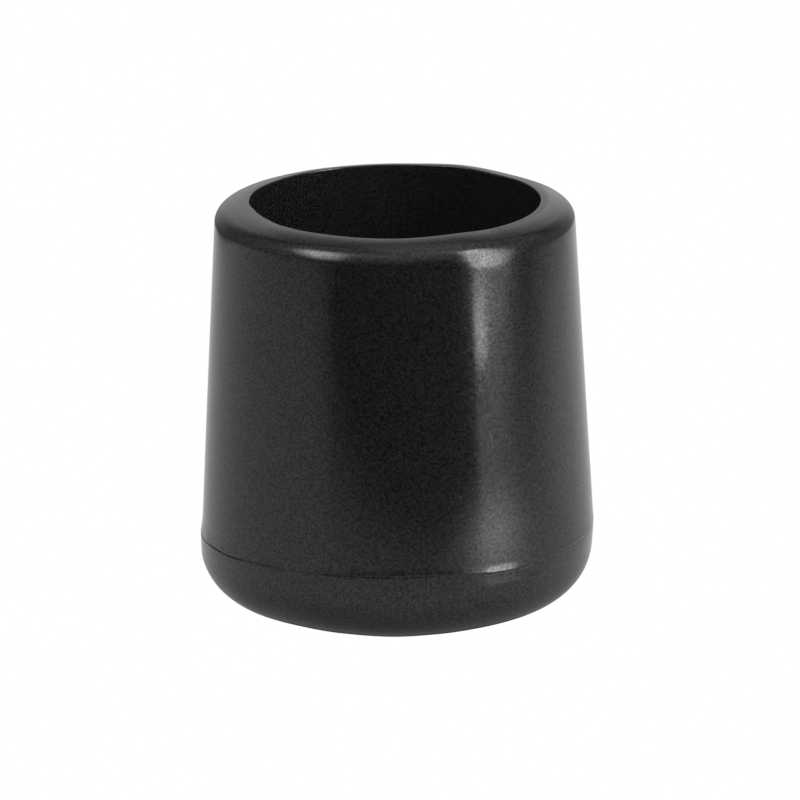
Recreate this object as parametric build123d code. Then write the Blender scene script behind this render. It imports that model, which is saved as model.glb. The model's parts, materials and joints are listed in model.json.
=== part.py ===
from build123d import *
from math import radians, tan
import os

# Rubber cap that pushes onto the end of a round tubular chair leg: one moulded
# piece, turned about the Z axis. The foot stands on Z = 0 and the socket opens
# upward. Lengths are in millimetres and angles in degrees.

# The tube end that the cap takes, and the rubber around and under it
SOCKET_DIAMETER = 22.0
SOCKET_DEPTH = 24.8
SOCKET_ROOT_RADIUS = 1.0
MOUTH_WALL = 2.55
FLOOR_THICKNESS = 6.0

# The rim falls away from a crisp mouth edge in a shallow crown, then rounds
# over the shoulder into a skirt that widens downward
RIM_CROWN_RADIUS = 7.0
RIM_DROP = 0.7
SHOULDER_RADIUS = 1.2
SKIRT_DRAFT = 3.15

# The base, below the mould's parting line, stands a hair proud of the skirt
PARTING_HEIGHT = 5.6
PARTING_STEP = 0.1
BASE_DRAFT = 3.0
FOOT_EDGE_RADIUS = 4.0

# Sizes that follow from those above
SOCKET_RADIUS = SOCKET_DIAMETER / 2
MOUTH_HEIGHT = FLOOR_THICKNESS + SOCKET_DEPTH
SHOULDER_HEIGHT = MOUTH_HEIGHT - RIM_DROP


def skirt_point(height):
    """Where the skirt's cone stands at a height above the ground."""
    flare = (MOUTH_HEIGHT - height) * tan(radians(SKIRT_DRAFT))
    return (SOCKET_RADIUS + MOUTH_WALL + flare, height)


def base_outline():
    """From the middle of the foot, round its edge and up to the parting line."""
    top_radius = skirt_point(PARTING_HEIGHT)[0] + PARTING_STEP
    foot_radius = top_radius - PARTING_HEIGHT * tan(radians(BASE_DRAFT))
    return FilletPolyline(
        (0, 0), (foot_radius, 0), (top_radius, PARTING_HEIGHT),
        radius=FOOT_EDGE_RADIUS)


def socket_outline():
    """From the mouth down the bore and across the socket's floor to the axis."""
    return FilletPolyline(
        (SOCKET_RADIUS, MOUTH_HEIGHT),
        (SOCKET_RADIUS, FLOOR_THICKNESS),
        (0, FLOOR_THICKNESS),
        radius=SOCKET_ROOT_RADIUS)


def half_section():
    """The solid rubber on one side of the axis, as a face in the XZ plane."""
    shoulder = skirt_point(SHOULDER_HEIGHT)
    with BuildSketch(Plane.XZ) as section:
        with BuildLine():
            base = base_outline()
            socket = socket_outline()
            skirt = Line(skirt_point(PARTING_HEIGHT), shoulder)
            RadiusArc(shoulder, socket @ 0, -RIM_CROWN_RADIUS)
            Line(base @ 1, skirt @ 0)
            Line(socket @ 1, base @ 0)
        make_face()
        sharp_shoulder = section.vertices().sort_by_distance(shoulder)[0]
        fillet(sharp_shoulder, radius=SHOULDER_RADIUS)
    return section.sketch


def leg_cap():
    """The whole cap, turned from its half section."""
    return revolve(half_section(), axis=Axis.Z)


os.makedirs("parts", exist_ok=True)
export_step(leg_cap(), "parts/leg_cap.step")
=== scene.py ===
import json
from math import asin, atan2, cos, degrees, hypot, pi, radians, sin, tan

import bpy
import numpy as np
from mathutils import Matrix, Vector


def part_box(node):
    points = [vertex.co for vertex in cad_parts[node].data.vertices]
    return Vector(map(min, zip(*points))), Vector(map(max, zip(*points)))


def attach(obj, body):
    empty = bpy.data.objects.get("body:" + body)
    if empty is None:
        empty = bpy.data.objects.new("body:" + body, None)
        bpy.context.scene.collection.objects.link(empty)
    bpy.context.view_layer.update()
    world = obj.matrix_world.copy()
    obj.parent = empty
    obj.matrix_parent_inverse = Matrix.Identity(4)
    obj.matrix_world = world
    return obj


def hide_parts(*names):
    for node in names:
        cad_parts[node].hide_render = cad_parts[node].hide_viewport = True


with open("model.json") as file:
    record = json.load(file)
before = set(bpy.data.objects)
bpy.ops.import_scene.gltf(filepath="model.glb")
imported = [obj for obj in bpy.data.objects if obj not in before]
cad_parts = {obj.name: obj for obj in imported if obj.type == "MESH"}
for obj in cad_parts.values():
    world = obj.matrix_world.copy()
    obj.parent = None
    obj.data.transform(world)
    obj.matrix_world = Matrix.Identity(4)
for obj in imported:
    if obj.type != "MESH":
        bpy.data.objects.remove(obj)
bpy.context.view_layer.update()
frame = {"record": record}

MM = 0.001

# ---------------------------------------------------------------- sizes of the moulding, in mm

LOW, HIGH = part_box("leg_cap")
MOUNTS = {mount["name"]: mount for mount in frame["record"]["mounts"]}

MOUTH_HEIGHT = (HIGH[2] - LOW[2]) / MM
BASE_RADIUS = (HIGH[0] - LOW[0]) / 2 / MM
SOCKET_RADIUS = MOUNTS["socket"]["dims"]["r_mm"]
SOCKET_FLOOR = 6.0
SOCKET_ROOT_RADIUS = 1.0
MOUTH_WALL = 2.55

RIM_CROWN_RADIUS = 7.0
RIM_DROP = 0.7
SHOULDER_RADIUS = 1.2
SKIRT_DRAFT = radians(3.15)

# The crown stops this many degrees short of the mouth, and the small arc of the mouth's edge
# takes over at its own angle
CROWN_STOP = 0.8
MOUTH_EDGE_RADIUS = 0.10
MOUTH_EDGE_START = 82

# The base is a little narrower than the CAD model's box
BOX_MARGIN = 0.015
PARTING_HEIGHT = 5.6
PARTING_RADIUS = BASE_RADIUS - BOX_MARGIN
BASE_DRAFT = radians(3.0)
FOOT_EDGE_RADIUS = 4.0

# The mesh is made 0.3 percent small, so that its high spots stay in the CAD model's box
MESH_SCALE = 0.9970

# Columns of the mesh around the cap, the radius of the rings that close it under the foot and in
# the socket, and the seed of the random draws
SEGMENTS = 384
POLE_RADIUS = 0.4
SEED = 7

# How far the skirt, the base and the foot stand off centre, towards +X
SKIRT_SHIFT = 0.03
BASE_SHIFT = -0.025
FOOT_SHIFT = -0.10

# ---------------------------------------------------------------- its unevenness, in mm
# The tables go around the cap. Each row is an azimuth, in degrees from the front (-Y) towards
# +X, and a size in mm.

# At the parting line the skirt flares, the base's lip rolls in, and a groove runs between them.
# The rows of the mesh are close together up to FINE_ROWS above it.
FINE_ROWS = 1.5
FLARE_HEIGHT = [(-90, 1.5), (-50, 0.7), (120, 0.7)]
FLARE = [(-120, 0.030), (-90, 0.095), (-72, 0.055), (-52, 0.028), (-35, 0.018), (-15, 0.018),
         (2, 0.021), (14, 0.016), (25, 0.018), (28, 0.048), (36, 0.048), (38, 0.012),
         (90, 0.015), (180, 0.030)]
FLARE_WAVES = {"height": 0.15, "count": 30, "shortest": 0.8, "longest": 4.0}
GROOVE_HEIGHT = 0.12
GROOVE_FOOT = PARTING_HEIGHT - GROOVE_HEIGHT
GROOVE = [(-100, 0.030), (-70, 0.040), (-40, 0.003), (-12, 0.003), (2, 0.003), (20, 0.002),
          (50, 0.008), (90, 0.014), (180, 0.015)]
LIP_HEIGHT = 1.2
LIP = [(-90, 0.030), (-40, 0.045), (-20, 0.055), (16, 0.055), (26, 0.060), (38, 0.060),
       (46, 0.045), (90, 0.020)]

# How far the foot's edge stands out, and the parting line and the rim above their level
FOOT = [(-90, 0.0), (-60, -0.05), (-36, -0.24), (-20, -0.10), (0, 0.14), (14, 0.0), (30, -0.12),
        (60, -0.07), (90, -0.07), (180, 0.0)]
PARTING_LEVEL = [(-90, -0.55), (-64, -0.24), (-42, 0.0), (-14, 0.14), (8, 0.18), (20, 0.02),
                 (30, -0.16), (38, -0.20), (46, -0.05), (58, 0.13), (90, 0.2), (180, 0.0)]
RIM_LEVEL = [(-165, -0.09), (-122, -0.03), (-60, 0.0), (-41, 0.04), (0, -0.02), (24, 0.08),
             (42, -0.02), (100, -0.03), (134, -0.08), (155, 0.05), (175, -0.08)]

# The crown swells a little next to the mouth, the mouth is out of round, and the shoulder is
# flatter to the right of the front. SWELL_PEAK is the highest value of x (1 - x) ** 2.
CROWN_SWELL = 0.03
CROWN_SWELL_WIDTH = 2.2
SWELL_PEAK = 4 / 27
MOUTH = [(-152, 0.20), (-125, -0.02), (-108, 0.10), (-92, 0.0), (-76, -0.24), (-62, -0.22),
         (-50, 0.0), (-40, 0.10), (-28, 0.0), (80, -0.03), (100, 0.06), (120, 0.12), (140, 0.0)]
SHOULDER_EASE_HEIGHT = 0.6
SHOULDER_EASE = [(22, 0.0), (26, 0.024), (33, 0.024), (41, 0.0)]

# The outside is wavy at random
SKIN_WAVES = {"height": 0.0022, "count": 40, "shortest": 4.0, "longest": 12.0}

# Heights above the table: the skin's waves fade in over SKIN_START, the foot's shape and shift
# fade out from FOOT_TOP to the groove, and the parting line's rise fades in from PARTING_START
SKIN_START = (0.3, 2.0)
FOOT_TOP = 1.0
PARTING_START = 2.0

# Heights above the parting line, over which its rise fades out
PARTING_END = (1.0, 9.0)

# Depths under the mouth, over which the rim's rise, the swell and the mouth's shape fade in
# upwards, and the depth above which the shoulder's easing fades out
RIM_START = (4.0, 0.5)
SWELL_START = (2.0, 1.0)
MOUTH_START = (8.0, 1.0)
SHOULDER_END = 1.0

# ---------------------------------------------------------------- rubber

RUBBER_IOR = 1.5
GRAIN = {
    "scale": 5400,
    "detail": 1.0,
    "span": (0.3, 0.7),
    "spread": {
        "Base Color": (0.0047, 0.0175),
        "Roughness": (0.115, 0.130),
        "Specular IOR Level": (0.36, 0.64),
    },
}

# ---------------------------------------------------------------- studio
# Metres, and degrees where radians() isn't written. Azimuth 0 is towards -Y, where the camera
# stands, and 90 is towards +X. A window is (from, to, width of its soft edges), or has a width
# for each of them.
#
# The numbers of the ceiling, the walls, the table and the softboxes were written by a fitting
# program and rounded, apart from a few chosen one by one: the table's painted contact shadow,
# the painted glint card on the table and the first wall's upper edge. The second wall was made
# 1.17 times as bright as in the fit. The camera's elevation, roll, lens and target started from a
# fit too.

WHITE = (1, 1, 1, 1)
AIM = Vector((0, 0, 0.015))

# A wall that reaches past azimuth 180 is given in azimuths from 0 to 360
CEILING = {"middle": 56.7, "soft": 9.3, "radiance": 0.323}
WALLS = [
    {"azimuth": (-90, 90, 59.2), "elevation": (24.3, 75, 60, 30), "radiance": 0.513},
    {"azimuth": (160.9, 211.8, 60), "elevation": (-8.2, 42.7, 40), "radiance": 0.66},
    {"azimuth": (81.1, 174.9, 2.4), "elevation": (-15, 29.9, 36.6), "radiance": 0.253},
    {"azimuth": (-127.3, -42.5, 41.1, 13.7), "elevation": (-40, 66.9, 18.9), "radiance": 0.257},
]

# The table that the cap mirrors lies just under it, and the floor that the camera sees just
# under the table. "half" is half their width.
FLOOR = {"level": -0.00002, "half": 2}

# The table's glow is painted light. It goes from near to far over one ramp of the distance from
# the axis, painted shade near the cap, and is zero inside another, a painted contact shadow
# under the cap's foot. Both are (middle, width). It slopes in x and y, with a painted pool of
# light to the right of the front, and ends in two windows whose axes are turned.
TABLE = {
    "level": -0.00001,
    "half": 0.4,
    "near": 0.1,
    "far": 0.674,
    "between": (0.0146, 0.0168),
    "contact_shadow": (0.0122, 0.0011),
    "slope": (1.198, 0.569),
    "painted_light_pool": (0.043, -0.0382),
    "painted_light_pool_radius": 0.0143,
    "painted_light_pool_radiance": 5.59,
    "turn": radians(25.5),
    "along": (-0.19, 0.1494, 0.0087, 0.1281),
    "back": (-0.0438, 0.1249, 0.0751, 0.0045),
}

SOFTBOXES = [
    {"name": "softbox_right", "azimuth": 61.4, "elevation": 34.0, "distance": 1.582,
     "facing": (61.4, -4.8), "roll": -4.0, "half": (0.224, 1.0625),
     "soft": (0.5566, 0.7969, 0.0103, 0.5566), "radiance": 9.27},
    {"name": "softbox_left", "azimuth": -50.9, "elevation": 44.5, "distance": 0.08,
     "facing": (-50.9, 44.6), "roll": 20.0, "half": (0.0064, 0.0216),
     "soft": (0.0357, 0.0357, 0.0639, 0.0357), "radiance": 12.49},
    {"name": "softbox_top", "azimuth": 104.1, "elevation": 50.0, "distance": 0.2,
     "facing": (104.1, 90.0), "roll": -12.3, "half": (0.0801, 0.1336),
     "soft": (0.024, 0.024, 0.3, 0.024), "radiance": 0.3},
    {"name": "side_card", "azimuth": 57.92, "elevation": -15.97, "distance": 0.2458,
     "facing": (61.4, 0.0), "roll": -11.3, "half": (0.04438, 0.08333),
     "soft": (0.0157, 0.18173, 0.001, 0.00261), "radiance": 0.85},
    {"name": "lamp_foot", "azimuth": 50.65, "elevation": -5.25, "distance": 0.1166,
     "facing": (52.5, 0.0), "roll": 0.0, "half": (0.00743, 0.00088),
     "soft": (0.00551, 0.0135, 0.00418, 0.01334), "radiance": 16.64},
    # The next card is no lamp but a painted glint: a glowing patch lying on the table that stands
    # for the right softbox's bright spot on the glossy table, for the cap to mirror.
    {"name": "painted_table_glint", "azimuth": 45.4, "elevation": -29.0, "distance": 0.0303,
     "facing": (50.3, 90.0), "roll": 0.0, "half": (0.00325, 0.003),
     "soft": (0.002, 0.009, 0.003, 0.001), "radiance": 0.8},
]

CAMERA = {
    "target": Vector((0.000291, 0, 0.015085)),
    "distance": 0.600,
    "elevation": radians(16.16),
    "roll": radians(0.532),
    "lens": 356.3,
    "sensor": 36,
    "clip": (0.01, 20),
}


# ---------------------------------------------------------------- profile of the moulding

def line(start, end, count):
    """Points from start up to but not including end."""
    steps = np.linspace(0, 1, count, endpoint=False)[:, None]
    return np.array(start) + steps * (np.array(end) - np.array(start))


def arc(centre, radius, first, last, count):
    """Points on an arc from angle first up to but not including last, in degrees from +r to +z."""
    angles = np.radians(np.linspace(first, last, count, endpoint=False))
    return np.array(centre) + radius * np.stack([np.cos(angles), np.sin(angles)], axis=1)


def rim():
    """Centres of the crown's and the shoulder's arcs, and the slopes at which the crown starts
    and ends, in degrees."""
    span = MOUTH_WALL + RIM_DROP * tan(SKIRT_DRAFT)
    fall = atan2(RIM_DROP, span)
    half = asin(hypot(span, RIM_DROP) / 2 / RIM_CROWN_RADIUS)
    inner = fall - half
    crown = (SOCKET_RADIUS - RIM_CROWN_RADIUS * sin(inner),
             MOUTH_HEIGHT - RIM_CROWN_RADIUS * cos(inner))
    reach = RIM_CROWN_RADIUS - SHOULDER_RADIUS
    inset = ((SOCKET_RADIUS + MOUTH_WALL - crown[0]) * cos(SKIRT_DRAFT)
             + (MOUTH_HEIGHT - crown[1]) * sin(SKIRT_DRAFT) - SHOULDER_RADIUS)
    outer = asin(inset / reach) - SKIRT_DRAFT
    shoulder = (crown[0] + reach * sin(outer), crown[1] + reach * cos(outer))
    return crown, shoulder, degrees(inner), degrees(outer)


def outer_section():
    """Points of the section from under the foot, up the outside and over the rim to the mouth.
    The last number of each line and arc is how many points it has."""
    draft = degrees(BASE_DRAFT)
    flat = PARTING_RADIUS - (PARTING_HEIGHT - FOOT_EDGE_RADIUS) * tan(BASE_DRAFT)
    foot = (flat - FOOT_EDGE_RADIUS / cos(BASE_DRAFT), FOOT_EDGE_RADIUS)
    foot_end = (foot[0] + FOOT_EDGE_RADIUS * cos(BASE_DRAFT),
                foot[1] - FOOT_EDGE_RADIUS * sin(BASE_DRAFT))
    groove_foot = (PARTING_RADIUS, GROOVE_FOOT)

    crown, shoulder, inner, outer = rim()
    skirt_draft = degrees(SKIRT_DRAFT)
    skirt_end = (shoulder[0] + SHOULDER_RADIUS * cos(SKIRT_DRAFT),
                 shoulder[1] + SHOULDER_RADIUS * sin(SKIRT_DRAFT))
    skirt_foot = skirt_end[0] + (skirt_end[1] - PARTING_HEIGHT) * tan(SKIRT_DRAFT)
    flare_top = (skirt_foot - FINE_ROWS * tan(SKIRT_DRAFT), PARTING_HEIGHT + FINE_ROWS)
    return np.concatenate([
        line((POLE_RADIUS, 0.0), (foot[0], 0.0), 12),
        arc(foot, FOOT_EDGE_RADIUS, -90, -draft, 30),
        line(foot_end, groove_foot, 12),
        line(groove_foot, (skirt_foot, PARTING_HEIGHT), 8),
        line((skirt_foot, PARTING_HEIGHT), flare_top, 20),
        line(flare_top, skirt_end, 60),
        arc(shoulder, SHOULDER_RADIUS, skirt_draft, 90 - outer, 20),
        arc(crown, RIM_CROWN_RADIUS, 90 - outer, 90 - inner - CROWN_STOP, 16),
    ])


def inner_section():
    """Points of the section over the mouth's edge, down the bore and along its floor."""
    edge = MOUTH_EDGE_RADIUS
    mouth = (SOCKET_RADIUS + edge, MOUTH_HEIGHT - edge)
    root = (SOCKET_RADIUS - SOCKET_ROOT_RADIUS, SOCKET_FLOOR + SOCKET_ROOT_RADIUS)
    return np.concatenate([
        arc(mouth, edge, MOUTH_EDGE_START, 180, 6),
        line((SOCKET_RADIUS, MOUTH_HEIGHT - edge), (SOCKET_RADIUS, root[1]), 30),
        arc(root, SOCKET_ROOT_RADIUS, 0, -90, 8),
        line((root[0], SOCKET_FLOOR), (POLE_RADIUS, SOCKET_FLOOR), 8),
    ])


def normals(points):
    """Outward normals of the section as columns in r and z, and the length along it."""
    ahead = np.roll(points, -1, axis=0) - points
    ahead[-1] = ahead[-2]
    behind = points - np.roll(points, 1, axis=0)
    behind[0] = ahead[0]
    along = ahead / np.linalg.norm(ahead, axis=1)[:, None]
    along += behind / np.linalg.norm(behind, axis=1)[:, None]
    along /= np.linalg.norm(along, axis=1)[:, None]
    length = np.cumsum(np.linalg.norm(behind, axis=1))[:, None]
    return along[:, 1:], -along[:, :1], length


# ---------------------------------------------------------------- the moulded piece

def smooth(x, low, high):
    """0 below low, 1 above high, and a smooth ramp between."""
    t = np.clip((x - low) / (high - low), 0, 1)
    return t * t * (3 - 2 * t)


def waves(turn, length, seed, height, count, shortest, longest):
    """A random unevenness, closed around the turn, with wavelengths from shortest to longest.
    height is its root mean square."""
    rng = np.random.default_rng(seed)
    total = np.zeros(np.broadcast(turn, length).shape)
    for _ in range(count):
        wave = rng.uniform(shortest, longest)
        lean = rng.uniform(0, pi)
        cycles = round(2 * pi * BASE_RADIUS / wave * cos(lean))
        along = 2 * pi / wave * sin(lean)
        total += np.cos(cycles * turn + along * length + rng.uniform(0, 2 * pi))
    return height * total * (2 / count) ** 0.5


def around(turn, table):
    """A size that changes smoothly around the cap between the table's azimuths. turn is an angle
    from +X, in radians."""
    azimuth = (np.degrees(turn) + 90 + 180) % 360 - 180
    knots = [(table[-1][0] - 360, table[-1][1])] + table + [(table[0][0] + 360, table[0][1])]
    size = np.zeros(azimuth.shape)
    for (start, first), (end, last) in zip(knots, knots[1:]):
        within = (azimuth >= start) & (azimuth < end)
        size = np.where(within, first + (last - first) * smooth(azimuth, start, end), size)
    return size


def near_mouth(level, start):
    """0 deep under the mouth and 1 near it, with a smooth ramp between two depths."""
    return smooth(level, MOUTH_HEIGHT - start[0], MOUTH_HEIGHT - start[1])


def base_relief(turn, level, skin):
    """How far the outside moves outwards and upwards around the parting line and the foot."""
    over = np.clip((level - PARTING_HEIGHT) / around(turn, FLARE_HEIGHT), 0, 1)
    under = np.clip((GROOVE_FOOT - level) / LIP_HEIGHT, 0, 1)
    across = np.clip((level - GROOVE_FOOT) / GROOVE_HEIGHT, 0, 1)
    ragged = 1 + waves(turn, 0, SEED + 1, **FLARE_WAVES)
    flare = around(turn, FLARE) * ragged * (1 - over) ** 2
    lip = around(turn, LIP) * (1 - under) ** 2
    groove = around(turn, GROOVE) * np.sin(pi * across)
    foot = around(turn, FOOT) * (1 - smooth(level, FOOT_TOP, GROOVE_FOOT))
    outwards = across * flare - (1 - across) * lip - groove + foot
    beside = smooth(level, PARTING_START, GROOVE_FOOT)
    beside = beside - smooth(level - PARTING_HEIGHT, *PARTING_END)
    return skin * outwards, skin * around(turn, PARTING_LEVEL) * beside


def rim_relief(turn, radius, level, skin):
    """How far the rim moves outwards and upwards."""
    out = np.clip((radius - SOCKET_RADIUS) / CROWN_SWELL_WIDTH, 0, 1)
    swell = CROWN_SWELL * out * (1 - out) ** 2 / SWELL_PEAK * near_mouth(level, SWELL_START)
    lift = around(turn, RIM_LEVEL) * near_mouth(level, RIM_START)

    _, shoulder, _, _ = rim()
    ease_foot = shoulder[1] - SHOULDER_EASE_HEIGHT
    eased = np.clip((level - ease_foot) / SHOULDER_EASE_HEIGHT, 0, 1) ** 2
    eased = skin * eased * smooth(MOUTH_HEIGHT - level, 0, SHOULDER_END)
    mouth = (1 - out) ** 2 * near_mouth(level, MOUTH_START)
    outwards = around(turn, MOUTH) * mouth - around(turn, SHOULDER_EASE) * eased
    return outwards, swell + lift


def centre_shift(level, skin):
    """How far each row stands off centre, towards +X."""
    shift = FOOT_SHIFT + (BASE_SHIFT - FOOT_SHIFT) * smooth(level, FOOT_TOP, GROOVE_FOOT)
    shift = shift + (SKIRT_SHIFT - BASE_SHIFT) * smooth(level, GROOVE_FOOT, PARTING_HEIGHT)
    return np.where(skin, shift, SKIRT_SHIFT)


def moulding():
    """Vertices of the cap in rows along the section, with the middles of its underside and its
    floor as the last two, and how many rows there are."""
    outside = outer_section()
    points = np.concatenate([outside, inner_section()])
    rows = len(points)
    radius, level = points[:, :1], points[:, 1:]
    turn = np.linspace(0, 2 * pi, SEGMENTS, endpoint=False)[None, :]
    skin = np.arange(rows)[:, None] < len(outside)

    normal_r, normal_z, length = normals(points)
    bump = waves(turn, length, SEED, **SKIN_WAVES) * smooth(level, *SKIN_START) * skin
    base_out, base_up = base_relief(turn, level, skin)
    rim_out, rim_up = rim_relief(turn, radius, level, skin)
    r = radius + bump * normal_r + base_out + rim_out
    z = level + bump * normal_z + base_up + rim_up

    x = r * np.cos(turn) + centre_shift(level, skin)
    vertices = np.stack([x, r * np.sin(turn), z], axis=2).reshape(-1, 3)
    middle = [[FOOT_SHIFT, 0, 0], [SKIRT_SHIFT, 0, SOCKET_FLOOR]]
    return np.concatenate([vertices, middle]), rows


def build_cap():
    """The cap as one closed mesh, in metres."""
    vertices, rows = moulding()
    count = SEGMENTS
    faces = []
    for row in range(rows - 1):
        for k in range(count):
            a = row * count + k
            b = row * count + (k + 1) % count
            faces.append((a, b, b + count, a + count))
    under, floor = rows * count, rows * count + 1
    last = (rows - 1) * count
    faces += [(under, (k + 1) % count, k) for k in range(count)]
    faces += [(floor, last + k, last + (k + 1) % count) for k in range(count)]
    mesh = bpy.data.meshes.new("moulded_cap")
    mesh.from_pydata([tuple(v * MESH_SCALE * MM) for v in vertices], [], faces)
    mesh.shade_smooth()
    cap = bpy.data.objects.new("moulded_cap", mesh)
    bpy.context.scene.collection.objects.link(cap)
    return cap


# ---------------------------------------------------------------- material

def rubber():
    """Black rubber with a soft shine, and a fine grain in its tone and its shine."""
    material = bpy.data.materials.new("black_moulded_rubber")
    material.use_nodes = True
    nodes, links = material.node_tree.nodes, material.node_tree.links
    shader = nodes["Principled BSDF"]
    shader.inputs["IOR"].default_value = RUBBER_IOR

    place = nodes.new("ShaderNodeTexCoord")
    grain = nodes.new("ShaderNodeTexNoise")
    grain.inputs["Scale"].default_value = GRAIN["scale"]
    grain.inputs["Detail"].default_value = GRAIN["detail"]
    links.new(place.outputs["Object"], grain.inputs["Vector"])
    for socket, (low, high) in GRAIN["spread"].items():
        spread = nodes.new("ShaderNodeMapRange")
        spread.inputs["From Min"].default_value = GRAIN["span"][0]
        spread.inputs["From Max"].default_value = GRAIN["span"][1]
        spread.inputs["To Min"].default_value = low
        spread.inputs["To Max"].default_value = high
        links.new(grain.outputs["Fac"], spread.inputs["Value"])
        links.new(spread.outputs["Result"], shader.inputs[socket])
    return material


# ---------------------------------------------------------------- studio lights and camera

class Maths:
    """Shorthand for building number sockets in a node tree."""

    def __init__(self, tree):
        self.nodes, self.links = tree.nodes, tree.links

    def node(self, kind, *inputs, **settings):
        """The outputs of a new node with these settings and inputs, linked or set."""
        node = self.nodes.new(kind)
        for key, value in settings.items():
            setattr(node, key, value)
        for socket, value in zip(node.inputs, inputs):
            if isinstance(value, bpy.types.NodeSocket):
                self.links.new(value, socket)
            else:
                socket.default_value = value
        return node.outputs

    def of(self, operation, *inputs):
        """The result of one arithmetic operation."""
        return self.node("ShaderNodeMath", *inputs, operation=operation)[0]

    def total(self, *values):
        """The sum of the values."""
        result = values[0]
        for value in values[1:]:
            result = self.of("ADD", result, value)
        return result

    def product(self, *values):
        """The product of the values."""
        result = values[0]
        for value in values[1:]:
            result = self.of("MULTIPLY", result, value)
        return result

    def ramp(self, value, middle, width, low=0.0, high=1.0):
        """A smooth step from low to high, centred on middle."""
        return self.node("ShaderNodeMapRange", value, middle - width / 2, middle + width / 2,
                         low, high, interpolation_type="SMOOTHSTEP")[0]

    def window(self, value, low, high, soft_low, soft_high=None):
        """1 between low and high, 0 outside, with soft edges."""
        soft_high = soft_low if soft_high is None else soft_high
        return self.of("SUBTRACT", self.ramp(value, low, soft_low),
                       self.ramp(value, high, soft_high))


def studio_world():
    """The dim room around the table, which the camera sees as plain white."""
    world = bpy.data.worlds.new("studio")
    bpy.context.scene.world = world
    world.use_nodes = True
    tree = world.node_tree
    tree.nodes.clear()
    m = Maths(tree)
    direction = m.node("ShaderNodeTexCoord")["Generated"]
    east, north, up = m.node("ShaderNodeSeparateXYZ", direction)
    height = m.product(m.of("ARCSINE", up), 180 / pi)
    turn = m.product(m.of("ARCTAN2", east, m.product(north, -1)), 180 / pi)
    turn_behind = m.of("WRAP", turn, 360, 0)

    light = [m.ramp(height, CEILING["middle"], CEILING["soft"], 0, CEILING["radiance"])]
    for wall in WALLS:
        angle = turn_behind if wall["azimuth"][1] > 180 else turn
        light.append(m.product(m.window(angle, *wall["azimuth"]),
                               m.window(height, *wall["elevation"]), wall["radiance"]))
    seen = m.node("ShaderNodeBackground", WHITE, 1.0)[0]
    lit = m.node("ShaderNodeBackground", WHITE, m.total(*light))[0]
    is_camera = m.node("ShaderNodeLightPath")["Is Camera Ray"]
    m.node("ShaderNodeOutputWorld", m.node("ShaderNodeMixShader", is_camera, lit, seen)[0])


def stage_sheet(name, half_width, half_height, place, tree_of):
    """A flat staged sheet with its own light, centred on the local origin."""
    mesh = bpy.data.meshes.new(name)
    corners = [(-half_width, -half_height, 0), (half_width, -half_height, 0),
               (half_width, half_height, 0), (-half_width, half_height, 0)]
    mesh.from_pydata(corners, [], [(0, 1, 2, 3)])
    sheet = bpy.data.objects.new(name, mesh)
    sheet.matrix_world = place
    bpy.context.scene.collection.objects.link(sheet)
    material = bpy.data.materials.new(name)
    material.use_nodes = True
    material.node_tree.nodes.clear()
    m = Maths(material.node_tree)
    m.node("ShaderNodeOutputMaterial", tree_of(m))
    mesh.materials.append(material)
    return sheet


def heading(azimuth, elevation):
    """The unit vector in a direction given in degrees."""
    turn, rise = radians(azimuth), radians(elevation)
    return Vector((sin(turn) * cos(rise), -cos(turn) * cos(rise), sin(rise)))


def softbox(name, azimuth, elevation, distance, facing, roll, half, soft, radiance):
    """A soft-edged light panel at a direction and distance from the cap. facing is the direction
    that its back points in, half its half width and height, and soft the widths of its left,
    right, lower and upper edges."""
    away = heading(*facing)
    level = Vector((cos(radians(facing[0])), sin(radians(facing[0])), 0))
    up = away.cross(level)
    up = up if up.z > 0 else -up
    tip = radians(roll)
    across = level * cos(tip) + up * sin(tip)
    rise = up * cos(tip) - level * sin(tip)
    turned = Matrix((across, rise, across.cross(rise))).transposed().to_4x4()
    place = Matrix.Translation(AIM + heading(azimuth, elevation) * distance) @ turned

    def light(m):
        x, y, _ = m.node("ShaderNodeSeparateXYZ", m.node("ShaderNodeTexCoord")["Object"])
        shape = m.product(m.window(x, -half[0], half[0], soft[0], soft[1]),
                          m.window(y, -half[1], half[1], soft[2], soft[3]), radiance)
        shine = m.node("ShaderNodeEmission", WHITE, shape)[0]
        clear = m.node("ShaderNodeBsdfTransparent")[0]
        return m.node("ShaderNodeAddShader", shine, clear)[0]

    half_width = half[0] + max(soft[:2]) / 2
    half_height = half[1] + max(soft[2:]) / 2
    panel = stage_sheet(name, half_width, half_height, place, light)
    panel.visible_camera = False


def table_radiance(m, x, y):
    """How bright the table's painted light is at x and y."""
    reach = m.of("SQRT", m.total(m.product(x, x), m.product(y, y)))
    # Painted shade: the table's glow is darker near the cap
    level = m.ramp(reach, *TABLE["between"], TABLE["near"], TABLE["far"])
    # Painted contact shadow: no glow right under the cap's foot
    level = m.product(level, m.ramp(reach, *TABLE["contact_shadow"]))
    # A painted pool of light on the table, to the right of the front
    from_x = m.of("SUBTRACT", x, TABLE["painted_light_pool"][0])
    from_y = m.of("SUBTRACT", y, TABLE["painted_light_pool"][1])
    apart = m.total(m.product(from_x, from_x), m.product(from_y, from_y))
    painted_light_pool = m.of("EXPONENT", m.product(apart, -1 / TABLE["painted_light_pool_radius"] ** 2))
    level = m.total(level, m.product(painted_light_pool, TABLE["painted_light_pool_radiance"]))
    slope = m.total(1.0, m.product(x, TABLE["slope"][0]), m.product(y, TABLE["slope"][1]))
    return m.product(level, slope)


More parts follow.
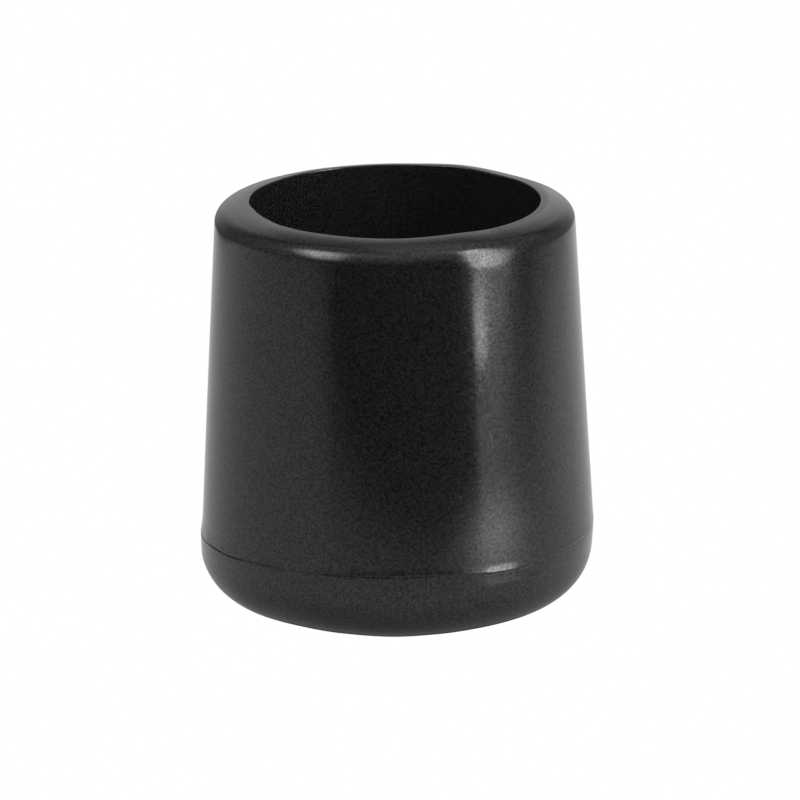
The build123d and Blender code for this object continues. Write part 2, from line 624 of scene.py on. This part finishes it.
def table_cover(m, x, y):
    """1 where the table is, and 0 where it has ended."""
    turn = TABLE["turn"]
    along = m.total(m.product(x, cos(turn)), m.product(y, sin(turn)))
    back = m.total(m.product(y, cos(turn)), m.product(x, -sin(turn)))
    return m.product(m.window(along, *TABLE["along"]), m.window(back, *TABLE["back"]))


def studio_table():
    """The white table that the cap mirrors, glowing with painted light and painted shade. It ends
    a short way in front of the cap.
    """
    def light(m):
        x, y, _ = m.node("ShaderNodeSeparateXYZ", m.node("ShaderNodeTexCoord")["Object"])
        shine = m.node("ShaderNodeEmission", WHITE, table_radiance(m, x, y))[0]
        clear = m.node("ShaderNodeBsdfTransparent")[0]
        return m.node("ShaderNodeMixShader", table_cover(m, x, y), clear, shine)[0]

    place = Matrix.Translation((0, 0, TABLE["level"]))
    table = stage_sheet("table_light", TABLE["half"], TABLE["half"], place, light)
    table.visible_camera = False


def studio_floor():
    """A plain white floor that glows evenly, so it takes no shadow. Only the camera sees it."""
    def light(m):
        return m.node("ShaderNodeEmission")[0]

    place = Matrix.Translation((0, 0, FLOOR["level"]))
    floor = stage_sheet("studio_floor", FLOOR["half"], FLOOR["half"], place, light)
    floor.visible_glossy = False
    floor.visible_diffuse = False
    floor.visible_shadow = False


def studio_camera():
    """A long lens a little above the cap, rolled by half a degree."""
    elevation, roll = CAMERA["elevation"], CAMERA["roll"]
    forward = Vector((0, cos(elevation), -sin(elevation)))
    level = Vector((1, 0, 0))
    rise = Vector((0, sin(elevation), cos(elevation)))
    right = level * cos(roll) - rise * sin(roll)
    up = level * sin(roll) + rise * cos(roll)
    data = bpy.data.cameras.new("camera")
    data.sensor_width = CAMERA["sensor"]
    data.lens = CAMERA["lens"]
    data.clip_start, data.clip_end = CAMERA["clip"]
    camera = bpy.data.objects.new("camera", data)
    place = Matrix.Translation(CAMERA["target"] - forward * CAMERA["distance"])
    camera.matrix_world = place @ Matrix((right, up, -forward)).transposed().to_4x4()
    bpy.context.scene.collection.objects.link(camera)
    bpy.context.scene.camera = camera


# ---------------------------------------------------------------- assembly

cap = build_cap()
cap.data.materials.append(rubber())
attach(cap, "root")
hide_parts("leg_cap")

studio_world()
studio_table()
studio_floor()
for panel in SOFTBOXES:
    softbox(**panel)
studio_camera()
bpy.context.scene.view_settings.view_transform = "Standard"
